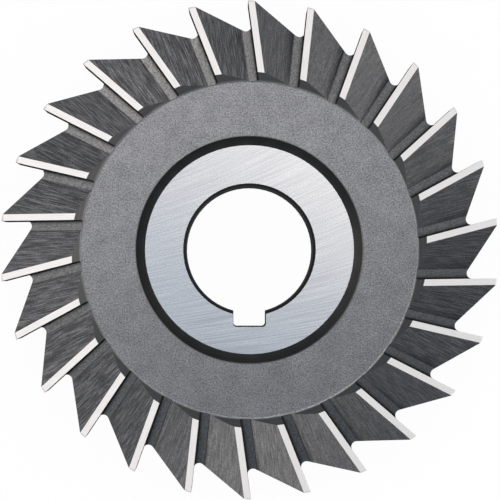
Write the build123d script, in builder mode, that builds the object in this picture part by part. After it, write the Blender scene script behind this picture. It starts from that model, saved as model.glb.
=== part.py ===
from build123d import *
from math import acos, cos, degrees, radians, sin, tan
import os

# Side and face milling cutter with straight teeth, cut from one ring of tool steel.
# It lies on its side teeth: the bore's axis is Z, the lower side teeth touch Z = 0,
# and the keyway points to -Y. Seen from above, it cuts when it turns counterclockwise.
# Lengths are in millimetres and angles in degrees.

# Overall sizes
cutter_diameter = 100.0
cutter_width = 13.0
tooth_count = 26
first_tooth_angle = 0.8

# Bore and keyway for a square drive key
bore_diameter = 25.4
bore_chamfer = 0.5
keyway_width = 6.45
keyway_depth = 2.7
keyway_corner = 0.7

# Ground hub faces, and the turned recess between the hub and the ring of side teeth
hub_diameter = 41.9
hub_wall_angle = 46.0
hub_foot_fillet = 0.4
recess_depth = 1.8
ring_wall_angle = 42.5
ring_foot_fillet = 0.8
side_tooth_length = 14.4

# Teeth on the rim
radial_rake = 7.4
rim_land = 1.28
rim_relief = 5.0
rim_gullet_angle = 57.0
rim_gullet_radius = 1.1
corner_chamfer = 0.35

# Teeth on the two sides, cut with a flat-nosed angular cutter whose path falls towards the rim
side_land = 1.3
side_relief = 3.0
side_gullet_angle = 70.0
side_gullet_floor = 2.15
side_gullet_radius = 0.3

# Where the gullet cuts start inside the recess, and how far they run on past the steel
cut_entry = 3.0
cut_overrun = 5.0

# Sizes that follow from the ones above
tip_radius = cutter_diameter / 2
bore_radius = bore_diameter / 2
hub_radius = hub_diameter / 2
half_width = cutter_width / 2
pitch = 360 / tooth_count
ring_radius = tip_radius - side_tooth_length
hub_foot_radius = hub_radius + recess_depth * tan(radians(hub_wall_angle))
ring_foot_radius = ring_radius - recess_depth * tan(radians(ring_wall_angle))
web_level = half_width - recess_depth
cut_reach = tip_radius + cut_overrun

# A tooth is drawn with X running out along its rake plane and Y in the cutting direction.
# The rake plane passes beside the axis, at this distance.
rake_offset = tip_radius * sin(radians(radial_rake))

# Rim: the next tooth's land runs back from its tip, and its back falls from the land's heel
next_tip_angle = pitch - radial_rake
land_angle = next_tip_angle - 90 - rim_relief
next_tip = Vector(tip_radius, 0).rotate(Axis.Z, next_tip_angle)
next_clear = Vector(cut_reach, 0).rotate(Axis.Z, next_tip_angle)
next_heel = next_tip + Vector(rim_land, 0).rotate(Axis.Z, land_angle)
root_reach = next_heel.X - (next_heel.Y + rake_offset) / tan(radians(rim_gullet_angle))

with BuildPart() as rim_gullet:
    with BuildSketch() as rim_section:
        with BuildLine():
            Polyline(
                (root_reach, -rake_offset),
                (cut_reach, -rake_offset),
                next_clear,
                next_tip,
                next_heel,
                close=True,
            )
        make_face()
        fillet(rim_section.vertices().sort_by(Axis.X)[0], rim_gullet_radius)
    extrude(amount=cutter_width)

# Side: the blank is tilted under the angular cutter by the dividing head's rule,
# cos(tilt) = tan(pitch) / tan(gullet angle), which keeps the side lands of even width.
# The gullet's floor therefore falls towards the rim, where the gullet is wider and deeper.
head_tilt = degrees(acos(tan(radians(pitch)) / tan(radians(side_gullet_angle))))
floor_fall = 1 / tan(radians(head_tilt))
back_slope = floor_fall / tan(radians(pitch))
entry_reach = ring_foot_radius - cut_entry
cut_length = cut_reach - entry_reach

# The back plane runs up to the heel of the next tooth's side land, one pitch round
heel_offset = rake_offset + side_land
heel_drop = side_land * tan(radians(side_relief))
entry_gap = entry_reach * tan(radians(pitch)) - heel_offset / cos(radians(pitch)) + rake_offset
entry_depth = heel_drop + back_slope * (entry_gap - side_gullet_floor)
gullet_height = entry_depth + floor_fall * cut_length + cut_overrun
gullet_mouth = side_gullet_floor + gullet_height * tan(radians(side_gullet_angle))
gullet_plane = Plane(
    origin=(entry_reach, -rake_offset, cutter_width - entry_depth),
    x_dir=(0, 1, 0),
    z_dir=(1, 0, -floor_fall),
)
relief_run = 2 * side_land
relief_plane = Plane(origin=(entry_reach, -rake_offset, cutter_width), x_dir=(0, 1, 0), z_dir=(1, 0, 0))

with BuildPart() as side_gullet:
    with BuildSketch(gullet_plane) as side_section:
        with BuildLine():
            Polyline(
                (0, 0),
                (side_gullet_floor, 0),
                (gullet_mouth, gullet_height),
                (0, gullet_height),
                close=True,
            )
        make_face()
        fillet(side_section.vertices().group_by(Axis.X)[0].sort_by(Axis.Y)[0], side_gullet_radius)
    extrude(amount=cut_length)
    with BuildSketch(relief_plane):
        with BuildLine():
            Polyline(
                (0, 0),
                (0, cut_overrun),
                (-relief_run, cut_overrun),
                (-relief_run, -relief_run * tan(radians(side_relief))),
                close=True,
            )
        make_face()
    extrude(amount=cut_length)

# Everything that is cut away in front of one tooth, on the rim and on both sides
with BuildPart() as tooth_gap:
    add(rim_gullet.part)
    add(side_gullet.part)
    mirror(side_gullet.part, about=Plane.XY.offset(half_width))

# Turned and ground sections are drawn in a radial plane, with X out from the axis and Y up
radial_plane = Plane(origin=(0, 0, half_width), x_dir=(1, 0, 0), z_dir=(0, -1, 0))

with BuildPart() as cutter:
    # The blank: a ring with chamfered bore and tooth corners
    with BuildSketch(radial_plane) as ring_section:
        with Locations(((bore_radius + tip_radius) / 2, 0)):
            Rectangle(tip_radius - bore_radius, cutter_width)
        chamfer(ring_section.vertices().group_by(Axis.X)[0], bore_chamfer)
        chamfer(ring_section.vertices().group_by(Axis.X)[-1], corner_chamfer)
    revolve(axis=Axis.Z)

    # The recess turned into each side, with a fillet at the hub's foot and at the ring's
    with BuildSketch(radial_plane) as recess_section:
        with BuildLine():
            Polyline(
                (hub_radius, half_width),
                (hub_foot_radius, web_level),
                (ring_foot_radius, web_level),
                (ring_radius, half_width),
                close=True,
            )
        make_face()
        fillet(recess_section.vertices().group_by(Axis.Y)[0].sort_by(Axis.X)[0], hub_foot_fillet)
        fillet(recess_section.vertices().group_by(Axis.Y)[0].sort_by(Axis.X)[-1], ring_foot_fillet)
        mirror(about=Plane.XZ)
    revolve(axis=Axis.Z, mode=Mode.SUBTRACT)

    # The keyway, broached right through
    with BuildSketch() as keyway_section:
        Rectangle(keyway_width, bore_radius + keyway_depth, align=(Align.CENTER, Align.MAX))
        fillet(keyway_section.vertices().group_by(Axis.Y)[0], keyway_corner)
    extrude(amount=cutter_width, mode=Mode.SUBTRACT)

    # The teeth
    with PolarLocations(0, tooth_count, start_angle=first_tooth_angle):
        add(tooth_gap.part, mode=Mode.SUBTRACT)

cutter.part.label = "cutter"
os.makedirs("parts", exist_ok=True)
export_step(cutter.part, "parts/cutter.step")
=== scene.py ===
import math
import random

import bmesh
import bpy
from mathutils import Matrix, Vector
from mathutils.geometry import delaunay_2d_cdt


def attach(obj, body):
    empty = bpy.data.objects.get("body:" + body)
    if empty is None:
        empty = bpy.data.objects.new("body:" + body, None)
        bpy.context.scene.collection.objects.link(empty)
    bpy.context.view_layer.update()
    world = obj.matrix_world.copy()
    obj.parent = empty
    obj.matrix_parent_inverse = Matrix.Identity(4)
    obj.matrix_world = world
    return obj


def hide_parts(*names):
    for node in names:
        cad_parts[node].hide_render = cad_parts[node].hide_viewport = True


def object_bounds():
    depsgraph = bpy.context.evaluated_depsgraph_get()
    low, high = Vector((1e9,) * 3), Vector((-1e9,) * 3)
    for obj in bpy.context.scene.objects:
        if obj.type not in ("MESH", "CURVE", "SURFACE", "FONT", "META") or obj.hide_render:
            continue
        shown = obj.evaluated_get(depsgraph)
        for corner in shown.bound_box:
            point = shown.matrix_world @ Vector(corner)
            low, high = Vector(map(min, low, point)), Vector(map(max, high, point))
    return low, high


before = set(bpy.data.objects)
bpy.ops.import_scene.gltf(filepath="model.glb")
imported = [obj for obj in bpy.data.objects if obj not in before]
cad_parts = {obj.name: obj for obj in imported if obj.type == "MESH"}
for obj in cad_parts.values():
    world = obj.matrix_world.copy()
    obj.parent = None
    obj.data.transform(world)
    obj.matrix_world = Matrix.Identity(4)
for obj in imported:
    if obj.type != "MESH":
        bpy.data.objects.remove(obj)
cad_low, cad_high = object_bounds()

# The cutter in the row frame, in metres. Its bore's axis is Z, and it lies on its lower side teeth.
# Lengths below are in millimetres times MM, and angles in radians, where a comment says nothing else.
MM = 0.001
WIDTH = cad_high.z
UPPER_MIDDLE = Vector((0, 0, WIDTH))

# The teeth: a rake plane passes beside the axis at RAKE_OFFSET, and looks counterclockwise
TEETH = 26
PITCH = math.tau / TEETH
FIRST_TOOTH = math.radians(0.8)
RAKE_OFFSET = 6.44 * MM
RIM_GULLET_ANGLE = math.radians(57)
GULLET_FLOOR = 2.15 * MM

# Radii that part the bored, ground, blasted and milled surfaces. A rim land reaches beyond RIM_ZONE.
BORE_ZONE = 16 * MM
HUB_ZONE = 21.05 * MM
WEB_ZONE = 29 * MM
RING_ZONE = 35.65 * MM
RIM_ZONE = 48 * MM

# How upright a face's normal is, which tells the surfaces of a tooth apart
FLAT = 0.9999
CHAMFER = 0.6
LAND = (0.998, 0.9995)
SIDE_BACK = (0.9345, 0.9365)
STEEP = 0.02

# How far a face's normal points away from the axis, the way the tooth cuts, or straight off a rim gullet's
# back. Each tells one kind of face.
INWARD = -0.02
OUTWARD = 0.6
RAKE = 0.99
RIM_BACK = 0.999

# The least area of a side gullet's back, and how far off a face its gullet is looked up
BACK_AREA = 5 * MM * MM
NUDGE = 0.05 * MM

# Cleaning the CAD mesh: corners nearer than MERGE become one, an edge flatter than SAME_PLANE goes, and one
# that is bent by more than CREASE stays sharp
MERGE = 0.0001 * MM
SAME_PLANE = math.radians(0.3)
CREASE = math.radians(25)

# Broken edges on the hub, bore and keyway
EDGE_BREAK = 0.07 * MM

# Tool marks on the milled backs: broken ridges along the milling cutter's travel, by turns up and down.
# The height of a ridge, of a point on it and the step to the next one each vary by these shares.
RIDGE_STEP = 0.17 * MM
RIDGE_PIECE = 1.3 * MM
RIDGE_HEIGHT = 0.0035 * MM
RIDGE_INSET = 0.12 * MM
RIDGE_SHARE = (0.2, 1)
POINT_SHARE = (-0.5, 0.5)
STEP_SHARE = (0.75, 1.25)
RIDGE_SEED = 26

# Cutting a face into triangles: only inside its outline, and points nearer than ONE_POINT are one
INSIDE_ONLY = 1
ONE_POINT = 1e-9

# How coarse a tooth's marks are, by how far round it lies from COARSE_TOOTH, where 1 is opposite.
# The ridges of the smoothest teeth have SMOOTH_RIDGES of the full height. In the noise, one tooth lies
# TOOTH_STRIDE from the next.
COARSE_TOOTH = 12
COARSE = ((0.38, 1.0), (0.5, 0.0), (0.71, 0.0), (0.95, 0.85))
SMOOTH_RIDGES = 0.35
TOOTH_STRIDE = 7.3

# Where the recess's blasted floor fades into its two walls, as radii in millimetres. At the hub, the wall's
# dark tone runs on a little past the wall's foot onto the floor, and that outer part of the fade is painted
# shade.
HUB_FOOT = (22.76, 23.06)
RING_FOOT = (34.05, 33.65)

# The hub's grinding lines: their turn, their bend per millimetre, and the share of broader lines among them.
# Their tone is painted reflection, as of lamps on one side and the cool sky on the other. It is neutral with
# the softest lines at the first of two distances along the direction below, in millimetres, and bluish with
# the strongest lines at the second.
HUB_TURN = math.radians(-17)
HUB_BEND = 0.0087
HUB_BROAD = 0.1
HUB_PAINTED_LAMP_SIDE = (0.5, 0.87, 0.0)
HUB_PAINTED_SPAN = (15, -15)

# The range of a noise over which a surface goes from its first tone to its second
NOISE_SPAN = (0.3, 0.7)
HUB_SPAN = (0.38, 0.62)

# The two tones of each surface, as greys or as red, green and blue
LAND_TONES = ((0.833, 0.808, 0.784), (0.932, 0.903, 0.874))
# The hub's tones where its painted reflection is of the lamps, and where it is of the bluish sky
HUB_LAMP_SIDE_TONES = ((0.665, 0.662, 0.671), (0.758, 0.753, 0.756))
HUB_SKY_SIDE_TONES = ((0.565, 0.595, 0.64), (0.79, 0.82, 0.863))
BORE_TONES = ((0.06, 0.06, 0.063), (0.09, 0.09, 0.094))
CHAMFER_TONES = (0.014, 0.022)
WEB_TONES = ((0.14, 0.14, 0.144), (0.39, 0.39, 0.4))
HUB_WALL_TONES = ((0.054, 0.052, 0.049), (0.088, 0.085, 0.08))
RING_WALL_TONES = ((0.128, 0.125, 0.122), (0.193, 0.189, 0.184))
SMOOTH_BACK_TONES = ((0.085, 0.085, 0.087), (0.127, 0.127, 0.13))
GULLET_TONES = ((0.099, 0.098, 0.098), (0.22, 0.218, 0.217))
RAKE_TONES = (0.035, 0.07)

# The coarse backs' tones by noise, and the painted shade across a gullet floor, from the rake face, 0, to
# the back's foot, 1: dark in the corner at the rake face and at the back's foot
COARSE_BACK = ((0.37, (0.066, 0.066, 0.068)), (0.5, (0.094, 0.094, 0.097)), (0.63, (0.168, 0.168, 0.172)))
GULLET_PAINTED_SHADE = ((0.0, 0.08), (0.12, 0.14), (0.24, 0.74), (0.45, 1.0), (0.88, 1.0), (0.97, 0.45), (1.0, 0.45))

# A cool sky, and soft lamps before it: name, azimuth and elevation in degrees, size in metres, and strength
SKY_COLOUR = (0.72, 0.85, 1.0, 1)
SKY_STRENGTH = 0.343
LAMP_DISTANCE = 0.45
LAMP_COLOUR = (1.0, 0.949, 0.912)
SOFTBOXES = (
    ("top", 45, 80, 0.13, 1.46),
    ("top_left", 120, 70, 0.13, 1.02),
    ("high_left", 180, 70, 0.13, 1.35),
    ("upper_left", 120, 58, 0.18, 3.16),
    ("upper_right", 60, 45, 0.16, 2.78),
    ("far_left", 150, 45, 0.13, 1.84),
    ("lower_left", 210, 45, 0.2, 3.9),
    ("right", 0, 30, 0.2, 4.22),
    ("below", 270, 30, 0.13, 2.18),
    ("lower_right", 330, 30, 0.18, 2.27),
)

# The pale floor that the cutter lies on: how far it reaches each way, in metres, how far below the teeth it
# lies, its own colour, and the share of plain white in what the camera and bright steel see of it
STAGE_REACH = 3.0
STAGE_DROP = 0.02 * MM
STAGE_COLOUR = (0.9, 0.9, 0.9, 1)
STAGE_WHITE = 0.97

# The photograph looks down the bore's axis. Its frame spans FRAME_WIDTH at the upper face.
# The camera's own sensor is SENSOR_WIDTH millimetres wide.
CAMERA_PLACE = Vector((-3.8 * MM, -6.6 * MM, WIDTH + 520 * MM))
CAMERA_TARGET = Vector((0.1 * MM, -0.08 * MM, WIDTH))
FRAME_WIDTH = 100.0 * MM
SENSOR_WIDTH = 36.0


def gullet_of(face):
    """The number of the gullet that a face looks into, counted from the first tooth's rake plane."""
    point = face.calc_center_median() + face.normal * NUDGE
    radius = math.hypot(point.x, point.y)
    turn = math.atan2(point.y, point.x) + math.asin(min(1, RAKE_OFFSET / radius)) - FIRST_TOOTH
    return math.floor(turn / PITCH) % TEETH


def tooth_frame(number):
    """Turns a tooth's own frame, X out along its rake plane and Y the way it cuts, to the row frame."""
    return Matrix.Rotation(FIRST_TOOTH + number * PITCH, 3, "Z")


def finish_of(face):
    """The name of the finish that a face of the cutter has, from where it lies and which way it looks."""
    middle = face.calc_center_median()
    reach = max(math.hypot(v.co.x, v.co.y) for v in face.verts)
    upright = abs(face.normal.z)
    outward = face.normal.dot(Vector((middle.x, middle.y, 0)).normalized())
    if upright > FLAT:
        return "ground_hub" if reach < HUB_ZONE else "recess"
    if reach < BORE_ZONE:
        return "bore_chamfer" if upright > CHAMFER else "bore_wall"
    if reach < WEB_ZONE or (reach < RING_ZONE and outward < INWARD):
        return "recess"
    if LAND[0] < upright < LAND[1]:
        return "ground_land"
    if SIDE_BACK[0] < upright < SIDE_BACK[1] and face.calc_area() > BACK_AREA:
        return "milled_back"
    if upright > STEEP:
        return "ground_land" if outward > OUTWARD else "gullet_floor"
    own = tooth_frame(gullet_of(face)).inverted() @ face.normal
    if own.y > RAKE:
        return "rake_face"
    if own.x * math.sin(RIM_GULLET_ANGLE) - own.y * math.cos(RIM_GULLET_ANGLE) > RIM_BACK:
        return "milled_back"
    return "ground_land" if reach > RIM_ZONE else "gullet_floor"


def coarseness(number):
    """How coarse a tooth's milling marks are, from 0 to 1."""
    apart = abs(number - COARSE_TOOTH) / (TEETH / 2)
    for (start, low), (end, high) in zip(COARSE, COARSE[1:]):
        if apart < end:
            return low + (high - low) * max(0, apart - start) / (end - start)
    return COARSE[-1][1]


def spans(outline, height):
    """Where the line y = height runs inside an outline of (x, y) points, as pairs of x."""
    crossings = []
    for (x0, y0), (x1, y1) in zip(outline, outline[1:] + outline[:1]):
        if (y0 > height) != (y1 > height):
            crossings.append(x0 + (x1 - x0) * (height - y0) / (y1 - y0))
    crossings.sort()
    return list(zip(crossings[::2], crossings[1::2]))


def ridge_points(outline, ridge, chance):
    """Points along ridges inside an outline, their heights, and the pairs of points that an edge joins."""
    points, heights, pairs = [], [], []
    row = min(y for _, y in outline) + RIDGE_INSET
    last_row = max(y for _, y in outline) - RIDGE_INSET
    side = 1
    while row < last_row:
        level = side * chance.uniform(*RIDGE_SHARE) * ridge
        for start, end in spans(outline, row):
            start, end = start + RIDGE_INSET, end - RIDGE_INSET
            if end - start < RIDGE_PIECE / 2:
                continue
            pieces = max(1, round((end - start) / RIDGE_PIECE))
            for i in range(pieces + 1):
                points.append((start + (end - start) * i / pieces, row))
                heights.append(level + chance.uniform(*POINT_SHARE) * ridge)
                if i:
                    pairs.append((len(points) - 2, len(points) - 1))
        side = -side
        row += RIDGE_STEP * chance.uniform(*STEP_SHARE)
    return points, heights, pairs


def mill(bm, face, along, ridge, chance):
    """Replaces a flat face by ridges along the milling cutter's travel. Its outline stays."""
    normal, origin, finish = face.normal.copy(), face.verts[0].co.copy(), face.material_index
    along = (along - normal * along.dot(normal)).normalized()
    across = normal.cross(along)
    corners = list(face.verts)
    count = len(corners)
    outline = [((v.co - origin).dot(along), (v.co - origin).dot(across)) for v in corners]
    points, heights, pairs = ridge_points(outline, ridge, chance)
    places = [Vector(point) for point in outline + points]
    edges = [(i, (i + 1) % count) for i in range(count)] + [(i + count, j + count) for i, j in pairs]
    made, _, triangles, sources, _, _ = delaunay_2d_cdt(places, edges, [list(range(count))],
                                                       INSIDE_ONLY, ONE_POINT)
    bm.faces.remove(face)
    verts = []
    for place, source in zip(made, sources):
        if source and source[0] < count:
            verts.append(corners[source[0]])
        else:
            height = heights[source[0] - count] if source else 0.0
            verts.append(bm.verts.new(origin + along * place.x + across * place.y + normal * height))
    for triangle in triangles:
        bm.faces.new([verts[i] for i in triangle]).material_index = finish


def grain_at(face, point):
    """Grain coordinates: along and across the tool's travel in millimetres, and each tooth's own offset."""
    number = gullet_of(face)
    if face.material_index == SLOT["ground_land"]:
        number += 1
    own = tooth_frame(number).inverted() @ point
    if abs(face.normal.z) > STEEP:
        return own.x / MM, own.y / MM, number * TOOTH_STRIDE
    run = own.x * math.cos(RIM_GULLET_ANGLE) + own.y * math.sin(RIM_GULLET_ANGLE)
    across = own.x if face.material_index == SLOT["rake_face"] else run
    return point.z / MM, across / MM, number * TOOTH_STRIDE


def whole_mesh(node):
    """The CAD node's mesh with its flat faces whole and its hub, bore and keyway edges broken."""
    bm = bmesh.new()
    bm.from_mesh(node.data)
    bmesh.ops.remove_doubles(bm, verts=bm.verts, dist=MERGE)
    bmesh.ops.dissolve_limit(bm, angle_limit=SAME_PLANE, verts=bm.verts, edges=bm.edges)
    sharp = [e for e in bm.edges if e.calc_face_angle_signed(0) > CREASE
             and all(math.hypot(v.co.x, v.co.y) < HUB_ZONE for v in e.verts)]
    bmesh.ops.bevel(bm, geom=sharp, offset=EDGE_BREAK, segments=2, profile=0.5, affect="EDGES",
                    clamp_overlap=False)
    bm.normal_update()
    return bm


def mill_backs(bm):
    """Cuts the milling ridges into every tooth back, lower ones on the smooth teeth."""
    chance = random.Random(RIDGE_SEED)
    for face in [f for f in bm.faces if f.material_index == SLOT["milled_back"]]:
        number = gullet_of(face)
        along = tooth_frame(number) @ Vector((1, 0, 0)) if abs(face.normal.z) > STEEP else Vector((0, 0, 1))
        ridge = RIDGE_HEIGHT * (SMOOTH_RIDGES + (1 - SMOOTH_RIDGES) * coarseness(number))
        mill(bm, face, along, ridge, chance)
    bm.normal_update()


def cutter_mesh(node):
    """The cutter's visible mesh, with a finish for each face and a grain for each corner."""
    bm = whole_mesh(node)
    for face in bm.faces:
        face.material_index = SLOT[finish_of(face)]
    mill_backs(bm)
    for edge in bm.edges:
        kinds = {f.material_index for f in edge.link_faces}
        edge.smooth = len(kinds) == 1 and edge.calc_face_angle(0) < CREASE
    for face in bm.faces:
        face.smooth = True
    grain = [grain_at(face, loop.vert.co) for face in bm.faces for loop in face.loops]
    mesh = bpy.data.meshes.new("cutter_body")
    bm.to_mesh(mesh)
    bm.free()
    held = mesh.attributes.new("grain", "FLOAT_VECTOR", "CORNER")
    held.data.foreach_set("vector", [number for place in grain for number in place])
    return mesh


def put(tree, kind, inputs=None, **settings):
    """Adds a node. Each input is a plain value or the socket that feeds it."""
    node = tree.nodes.new(kind)
    for name, value in settings.items():
        setattr(node, name, value)
    for name, value in (inputs or {}).items():
        if isinstance(value, bpy.types.NodeSocket):
            tree.links.new(value, node.inputs[name])
        else:
            node.inputs[name].default_value = value
    return node


def look(name, plain):
    """A new material, its tree and its shader, with plain values on some of the shader's sockets."""
    material = bpy.data.materials.new(name)
    material.use_nodes = True
    tree = material.node_tree
    shader = tree.nodes["Principled BSDF"]
    for socket, value in plain.items():
        shader.inputs[socket].default_value = value
    return material, tree, shader


def feed(tree, shader, colour, roughness=None):
    """Feeds the shader's colour, and its roughness where that varies."""
    tree.links.new(colour, shader.inputs["Base Color"])
    if roughness is not None:
        tree.links.new(roughness, shader.inputs["Roughness"])


def maths(tree, operation, *values):
    """A number made from one or two others."""
    return put(tree, "ShaderNodeMath", dict(enumerate(values)), operation=operation).outputs[0]


def times(tree, a, b):
    """Two colours or sets of coordinates multiplied, number by number."""
    return put(tree, "ShaderNodeVectorMath", {0: a, 1: b}, operation="MULTIPLY").outputs[0]


def between(tree, value, start, end):
    """How far a value has come from start to end, from 0 to 1."""
    return put(tree, "ShaderNodeMapRange", {"Value": value, "From Min": start, "From Max": end}).outputs[0]


def coordinate(tree, place, axis):
    """One coordinate of a place: 0 for X, 1 for Y and 2 for Z."""
    return put(tree, "ShaderNodeSeparateXYZ", {0: place}).outputs[axis]


def grain_coordinates(tree):
    """The coordinates that grain_at gives each corner of a face."""
    return put(tree, "ShaderNodeAttribute", attribute_name="grain").outputs["Vector"]


def object_coordinates(tree):
    """Object coordinates in millimetres."""
    place = put(tree, "ShaderNodeTexCoord").outputs["Object"]
    return times(tree, place, (1 / MM, 1 / MM, 1 / MM))


def from_axis(tree, place):
    """Distance from the bore's axis, in millimetres."""
    level = times(tree, place, (1, 1, 0))
    return put(tree, "ShaderNodeVectorMath", {0: level}, operation="LENGTH").outputs["Value"]


def noise(tree, place, scale, detail=2.0, roughness=0.5, distortion=0.0):
    """Noise from 0 to 1, with a scale along each axis in grains to the millimetre."""
    inputs = {"Vector": times(tree, place, scale), "Scale": 1.0, "Detail": detail, "Roughness": roughness,
              "Distortion": distortion}
    return put(tree, "ShaderNodeTexNoise", inputs).outputs["Fac"]


def turned_rings(tree, place, scale):
    """Fine rings about the bore's axis, as a lathe tool leaves them."""
    rings = put(tree, "ShaderNodeCombineXYZ", {0: from_axis(tree, place), 1: coordinate(tree, place, 2)})
    return noise(tree, rings.outputs[0], (scale, scale, 0.0), 3.0, 0.6)


def ramp(tree, value, stops):
    """Colours or greys by value, as (position, grey or (r, g, b))."""
    node = put(tree, "ShaderNodeValToRGB", {"Fac": value})
    elements = node.color_ramp.elements
    while len(elements) < len(stops):
        elements.new(0.5)
    for element, (position, colour) in zip(elements, stops):
        element.position = position
        element.color = (*colour, 1) if isinstance(colour, tuple) else (colour, colour, colour, 1)
    return node.outputs["Color"]


def shades(tree, value, tones, span=NOISE_SPAN):
    """From one tone to another as a value goes through a span."""
    return ramp(tree, value, list(zip(span, tones)))


def blend(tree, share, a, b):
    """Colour a where the share is 0, and colour b where it is 1."""
    return put(tree, "ShaderNodeMix", {0: share, 6: a, 7: b}, data_type="RGBA").outputs[2]


def bump(tree, shader, height, distance, strength=1.0):
    """Bends the shader's normal by a height. Strength is a number or a socket."""
    node = put(tree, "ShaderNodeBump", {"Height": height, "Distance": distance, "Strength": strength})
    tree.links.new(node.outputs["Normal"], shader.inputs["Normal"])


def ground_land():
    """Bright ground steel with fine lines along the land."""
    material, tree, shader = look("ground_land", {"Metallic": 1.0})
    lines = noise(tree, grain_coordinates(tree), (0.25, 9.0, 1.0), 3.0, 0.6)
    feed(tree, shader, shades(tree, lines, LAND_TONES), shades(tree, lines, (0.62, 0.54)))
    bump(tree, shader, lines, 0.002 * MM)
    return material


def ground_hub():
    """The hub's ground face, with long nearly straight grinding lines and a painted reflection: neutral
    toward the upper right, bluish toward the lower left.
    """
    material, tree, shader = look("ground_hub", {"Metallic": 1.0})
    place = object_coordinates(tree)
    turned = put(tree, "ShaderNodeVectorRotate", {"Vector": place, "Angle": HUB_TURN},
                 rotation_type="Z_AXIS").outputs[0]
    product = maths(tree, "MULTIPLY", coordinate(tree, place, 0), coordinate(tree, place, 1))
    sweep = put(tree, "ShaderNodeCombineXYZ", {1: maths(tree, "MULTIPLY", product, -HUB_BEND)}).outputs[0]
    bent = put(tree, "ShaderNodeVectorMath", {0: turned, 1: sweep}, operation="ADD").outputs[0]
    fine = noise(tree, bent, (0.06, 4.0, 0.0))
    broad = noise(tree, bent, (0.04, 1.2, 0.0))
    lines = put(tree, "ShaderNodeMix", {0: HUB_BROAD, 2: fine, 3: broad}).outputs[0]
    # Painted reflection: neutral with soft lines on the lamps' side, bluish with strong lines on the sky's
    # side
    soft = shades(tree, lines, HUB_LAMP_SIDE_TONES, HUB_SPAN)
    strong = shades(tree, lines, HUB_SKY_SIDE_TONES, HUB_SPAN)
    along = put(tree, "ShaderNodeVectorMath", {0: place, 1: HUB_PAINTED_LAMP_SIDE}, operation="DOT_PRODUCT")
    colour = blend(tree, between(tree, along.outputs["Value"], *HUB_PAINTED_SPAN), soft, strong)
    feed(tree, shader, colour, shades(tree, lines, (0.29, 0.26)))
    bump(tree, shader, lines, 0.0014 * MM)
    return material


def bore_wall():
    """Bore and keyway: bored and broached, dark grey from the hardening furnace."""
    plain = {"Metallic": 0.0, "Roughness": 0.45, "Specular IOR Level": 0.0}
    material, tree, shader = look("bore_wall", plain)
    rings = turned_rings(tree, object_coordinates(tree), 6.0)
    feed(tree, shader, shades(tree, rings, BORE_TONES))
    bump(tree, shader, rings, 0.003 * MM)
    return material


def bore_chamfer():
    """The bore's chamfers, nearly black from the hardening furnace."""
    plain = {"Metallic": 0.0, "Roughness": 0.45, "Specular IOR Level": 0.1}
    material, tree, shader = look("bore_chamfer", plain)
    rings = turned_rings(tree, object_coordinates(tree), 5.0)
    feed(tree, shader, shades(tree, rings, CHAMFER_TONES))
    bump(tree, shader, rings, 0.003 * MM)
    return material


def recess():
    """A side's recess: a matte blasted floor, a nearly black wall at the hub and a dark grey one outside."""
    material, tree, shader = look("recess", {"Metallic": 1.0})
    place = object_coordinates(tree)
    grit = noise(tree, place, (3.4, 3.4, 3.4), 2.0, 0.6)
    cloud = noise(tree, place, (0.3, 0.3, 0.3), 4.0, 0.7)
    rings = turned_rings(tree, place, 5.0)
    radius = from_axis(tree, place)
    # The hub wall's dark tone fades out a little past the wall's foot, on the floor: painted shade at the
    # hub's foot
    from_hub = between(tree, radius, *HUB_FOOT)
    from_ring = between(tree, radius, *RING_FOOT)
    floor = times(tree, shades(tree, grit, WEB_TONES), shades(tree, cloud, (0.86, 1.14)))
    tone = blend(tree, from_hub, shades(tree, rings, HUB_WALL_TONES), floor)
    tone = blend(tree, from_ring, shades(tree, rings, RING_WALL_TONES), tone)
    roughness = blend(tree, from_ring, (0.5, 0.5, 0.5, 1), shades(tree, grit, (0.38, 0.3)))
    feed(tree, shader, tone, roughness)
    bump(tree, shader, grit, 0.03 * MM, maths(tree, "MULTIPLY", from_hub, from_ring))
    return material


def milled_back():
    """Tooth backs: dark steel with broken streaks along the tool's travel, coarser on some teeth."""
    material, tree, shader = look("milled_back", {"Metallic": 1.0})
    place = grain_coordinates(tree)
    number = maths(tree, "DIVIDE", coordinate(tree, place, 2), TOOTH_STRIDE)
    apart = maths(tree, "ABSOLUTE", maths(tree, "SUBTRACT", number, COARSE_TOOTH))
    coarse = ramp(tree, maths(tree, "DIVIDE", apart, TEETH / 2), COARSE)
    fine = noise(tree, place, (0.32, 5.4, 1.0), 2.0, 0.5, 0.35)
    grain = noise(tree, place, (3.6, 3.6, 1.0), 1.0)
    broad = noise(tree, place, (0.1, 0.9, 1.0))
    tone = blend(tree, coarse, shades(tree, fine, SMOOTH_BACK_TONES), ramp(tree, fine, COARSE_BACK))
    tone = times(tree, tone, shades(tree, broad, (0.95, 1.05)))
    tone = times(tree, tone, shades(tree, grain, (0.78, 1.22)))
    feed(tree, shader, tone, shades(tree, fine, (0.5, 0.38)))
    depth = put(tree, "ShaderNodeMapRange", {"Value": coarse, "To Min": 0.2}).outputs[0]
    bump(tree, shader, fine, 0.02 * MM, depth)
    return material


def gullet_floor():
    """Gullet floors and roots: grainy, lighter than the backs, with painted shade in the corner at the rake
    face and at the back's foot.
    """
    material, tree, shader = look("gullet_floor", {"Metallic": 1.0})
    place = grain_coordinates(tree)
    marks = noise(tree, place, (2.4, 3.0, 1.0), 2.0, 0.6)
    across = between(tree, coordinate(tree, place, 1), -RAKE_OFFSET / MM, (GULLET_FLOOR - RAKE_OFFSET) / MM)
    # Painted shade across the floor: dark in the corner at the rake face and again at the back's foot
    tone = times(tree, shades(tree, marks, GULLET_TONES), ramp(tree, across, GULLET_PAINTED_SHADE))
    feed(tree, shader, tone, shades(tree, marks, (0.38, 0.28)))
    bump(tree, shader, marks, 0.01 * MM)
    return material


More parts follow.
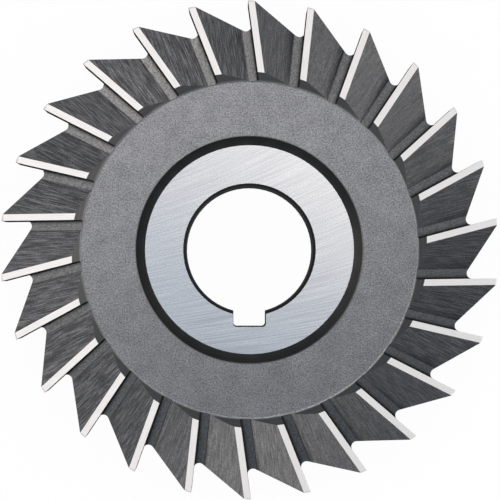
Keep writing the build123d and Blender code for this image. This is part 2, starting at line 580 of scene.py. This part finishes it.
def rake_face():
    """Rake faces: dark, with fine milling lines across the cutter's width."""
    material, tree, shader = look("rake_face", {"Metallic": 0.0, "Specular IOR Level": 0.0})
    lines = noise(tree, grain_coordinates(tree), (0.3, 6.0, 1.0), 3.0, 0.6)
    feed(tree, shader, shades(tree, lines, RAKE_TONES), shades(tree, lines, (0.6, 0.5)))
    bump(tree, shader, lines, 0.006 * MM)
    return material


# The finishes in the order of the mesh's material slots, each with the name of the function that makes it
MAKERS = (ground_land, ground_hub, bore_wall, bore_chamfer, recess, milled_back, gullet_floor, rake_face)
SLOT = {make.__name__: number for number, make in enumerate(MAKERS)}


def build_cutter():
    """The one visible piece. It stands for the CAD's cutter."""
    body = bpy.data.objects.new("cutter_body", cutter_mesh(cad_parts["cutter"]))
    bpy.context.scene.collection.objects.link(body)
    for make in MAKERS:
        body.data.materials.append(make())
    weighted = body.modifiers.new("weighted_normals", "WEIGHTED_NORMAL")
    weighted.keep_sharp = True
    weighted.weight = 100
    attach(body, "root")
    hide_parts("cutter")


def from_above(azimuth, elevation, distance):
    """A place seen from the middle of the upper face. Azimuth is counterclockwise from +X, in degrees."""
    a, e = math.radians(azimuth), math.radians(elevation)
    way = Vector((math.cos(a) * math.cos(e), math.sin(a) * math.cos(e), math.sin(e)))
    return UPPER_MIDDLE + distance * way


def softbox(name, azimuth, elevation, size, strength):
    """A square soft lamp that looks at the cutter. Strength is its own brightness, where 1 is white."""
    lamp = bpy.data.lights.new(name, "AREA")
    lamp.shape = "SQUARE"
    lamp.size = size
    lamp.color = LAMP_COLOUR
    lamp.energy = strength * math.pi * size * size
    holder = bpy.data.objects.new(name, lamp)
    holder.location = from_above(azimuth, elevation, LAMP_DISTANCE)
    holder.rotation_euler = (UPPER_MIDDLE - holder.location).to_track_quat("-Z", "Y").to_euler()
    bpy.context.scene.collection.objects.link(holder)


def build_light():
    """The sky and the lamps."""
    world = bpy.data.worlds.new("studio")
    bpy.context.scene.world = world
    world.use_nodes = True
    background = world.node_tree.nodes["Background"]
    background.inputs["Color"].default_value = SKY_COLOUR
    background.inputs["Strength"].default_value = SKY_STRENGTH
    for lamp in SOFTBOXES:
        softbox(*lamp)


def pale_floor():
    """Nearly white to the camera and in bright steel, with the cutter's soft shadow kept."""
    material = bpy.data.materials.new("pale_floor")
    material.use_nodes = True
    tree = material.node_tree
    tree.nodes.remove(tree.nodes["Principled BSDF"])
    lit = put(tree, "ShaderNodeBsdfDiffuse", {"Color": STAGE_COLOUR}).outputs[0]
    white = put(tree, "ShaderNodeEmission", {"Color": (1, 1, 1, 1), "Strength": 1.0}).outputs[0]
    path = put(tree, "ShaderNodeLightPath").outputs
    seen = maths(tree, "MAXIMUM", path["Is Camera Ray"], path["Is Glossy Ray"])
    seen = maths(tree, "MAXIMUM", seen, path["Is Transmission Ray"])
    share = maths(tree, "MULTIPLY", seen, STAGE_WHITE)
    mixed = put(tree, "ShaderNodeMixShader", {0: share, 1: lit, 2: white}).outputs[0]
    tree.links.new(mixed, tree.nodes["Material Output"].inputs["Surface"])
    return material


def build_floor():
    """A square pale floor just below the cutter."""
    mesh = bpy.data.meshes.new("floor")
    corners = [(x * STAGE_REACH, y * STAGE_REACH, 0) for x, y in ((-1, -1), (1, -1), (1, 1), (-1, 1))]
    mesh.from_pydata(corners, [], [(0, 1, 2, 3)])
    floor = bpy.data.objects.new("floor", mesh)
    floor.location.z = -STAGE_DROP
    bpy.context.scene.collection.objects.link(floor)
    floor.data.materials.append(pale_floor())


def build_camera():
    """The camera, with the picture's up along +Y."""
    data = bpy.data.cameras.new("camera")
    camera = bpy.data.objects.new("camera", data)
    camera.location = CAMERA_PLACE
    back = (CAMERA_PLACE - CAMERA_TARGET).normalized()
    right = Vector((0, 1, 0)).cross(back).normalized()
    camera.rotation_euler = Matrix((right, back.cross(right), back)).transposed().to_euler()
    data.sensor_width = SENSOR_WIDTH
    data.lens = SENSOR_WIDTH * (CAMERA_PLACE - CAMERA_TARGET).length / FRAME_WIDTH
    bpy.context.scene.collection.objects.link(camera)
    bpy.context.scene.camera = camera


build_cutter()
build_floor()
build_light()
build_camera()
bpy.context.scene.view_settings.view_transform = "Standard"
